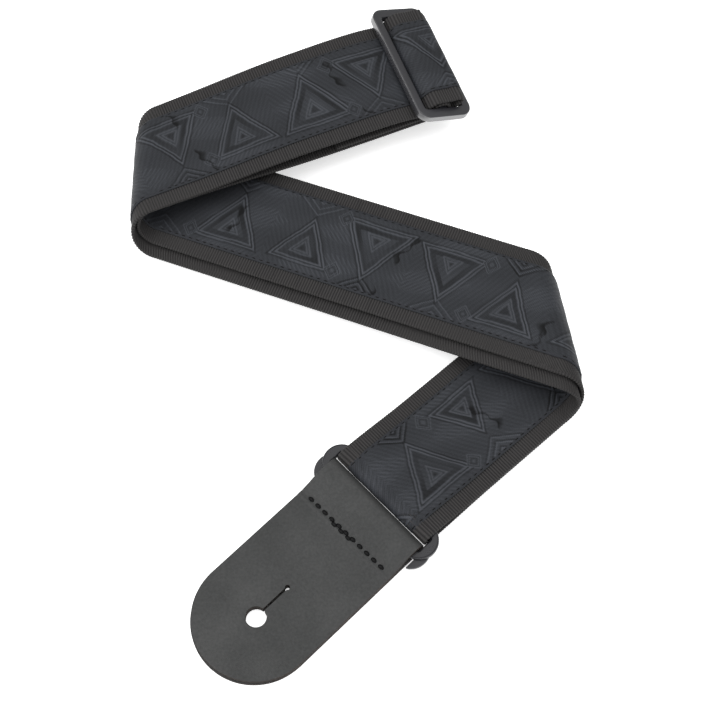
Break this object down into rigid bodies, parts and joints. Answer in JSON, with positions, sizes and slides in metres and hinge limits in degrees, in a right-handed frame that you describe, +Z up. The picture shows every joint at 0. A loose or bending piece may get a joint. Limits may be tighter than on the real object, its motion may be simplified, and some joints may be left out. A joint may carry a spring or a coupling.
{
  "type": "guitar strap",
  "caption": "Folded instrument strap: doubled woven webbing with a patterned ribbon, a sliding adjuster, a flat ring and leather end tabs with button holes.",
  "frame": {"origin": "middle of the folded strap on the surface it lies on", "axes": "+Z up; +Y from the leather tab at the ring towards the slider, along the longest side; +X towards the fold between the lower and middle runs"},
  "size_m": [0.189, 0.3022, 0.0277],
  "materials": {
    "webbing": "ribbed weave",
    "ribbon": "jacquard weave, tone on tone",
    "thread": "spun thread",
    "leather": "fine grain, semi-matt",
    "plastic": "satin"
  },
  "bodies": {
    "lower_run": {"lower_run_ribbon": "ribbon", "lower_run_stitch_row_a": "thread", "lower_run_stitch_row_b": "thread", "lower_run_webbing": "webbing", "right_fold_inner_ribbon": "ribbon", "right_fold_inner_stitch_row_a": "thread", "right_fold_inner_stitch_row_b": "thread", "right_fold_inner_webbing": "webbing", "right_fold_outer_ribbon": "ribbon", "right_fold_outer_stitch_row_a": "thread", "right_fold_outer_stitch_row_b": "thread", "right_fold_outer_webbing": "webbing"},
    "ring": {"ring": "plastic"},
    "end_tab": {"end_tab_leather": "leather", "end_tab_stitches": "thread"},
    "middle_run": {"left_fold_inner_ribbon": "ribbon", "left_fold_inner_stitch_row_a": "thread", "left_fold_inner_stitch_row_b": "thread", "left_fold_inner_webbing": "webbing", "left_fold_outer_ribbon": "ribbon", "left_fold_outer_stitch_row_a": "thread", "left_fold_outer_stitch_row_b": "thread", "left_fold_outer_webbing": "webbing", "middle_bottom_ribbon": "ribbon", "middle_bottom_stitch_row_a": "thread", "middle_bottom_stitch_row_b": "thread", "middle_bottom_webbing": "webbing", "middle_top_ribbon": "ribbon", "middle_top_stitch_row_a": "thread", "middle_top_stitch_row_b": "thread", "middle_top_webbing": "webbing"},
    "upper_run": {"far_tab_leather": "leather", "far_tab_stitches": "thread", "lower_layer_ribbon": "ribbon", "lower_layer_stitch_row_a": "thread", "lower_layer_stitch_row_b": "thread", "lower_layer_webbing": "webbing", "upper_layer_ribbon": "ribbon", "upper_layer_stitch_row_a": "thread", "upper_layer_stitch_row_b": "thread", "upper_layer_webbing": "webbing"},
    "slider": {"slider": "plastic"}
  },
  "joints": [
    {"name": "ring_swing", "type": "hinge", "parent": "lower_run", "child": "ring", "pos_m": [0.01547, -0.07566, 0.0053], "axis": [-0.6845, 0.729, 0], "range_deg": [-8, 25]},
    {"name": "end_tab_swing", "type": "hinge", "parent": "ring", "child": "end_tab", "pos_m": [0.00728, -0.08335, 0.00412], "axis": [-0.6845, 0.729, 0], "range_deg": [-8, 14]},
    {"name": "right_fold_open", "type": "hinge", "parent": "lower_run", "child": "middle_run", "pos_m": [0.08173, -0.016, 0.01009], "axis": [-0.1738, 0.9847, -0.0143], "range_deg": [0, 60], "deforming": ["right_fold_inner_ribbon", "right_fold_inner_stitch_row_a", "right_fold_inner_stitch_row_b", "right_fold_inner_webbing", "right_fold_outer_ribbon", "right_fold_outer_stitch_row_a", "right_fold_outer_stitch_row_b", "right_fold_outer_webbing"]},
    {"name": "left_fold_open", "type": "hinge", "parent": "middle_run", "child": "upper_run", "pos_m": [-0.08505, 0.06435, 0.01027], "axis": [0.0008, -1, -0.0001], "range_deg": [0, 60], "deforming": ["left_fold_inner_ribbon", "left_fold_inner_stitch_row_a", "left_fold_inner_stitch_row_b", "left_fold_inner_webbing", "left_fold_outer_ribbon", "left_fold_outer_stitch_row_a", "left_fold_outer_stitch_row_b", "left_fold_outer_webbing"]},
    {"name": "slider_tilt", "type": "hinge", "parent": "upper_run", "child": "slider", "pos_m": [0.03055, 0.12003, 0.0202], "axis": [-0.3754, 0.9255, 0.0509], "range_deg": [-3, 3]}
  ]
}
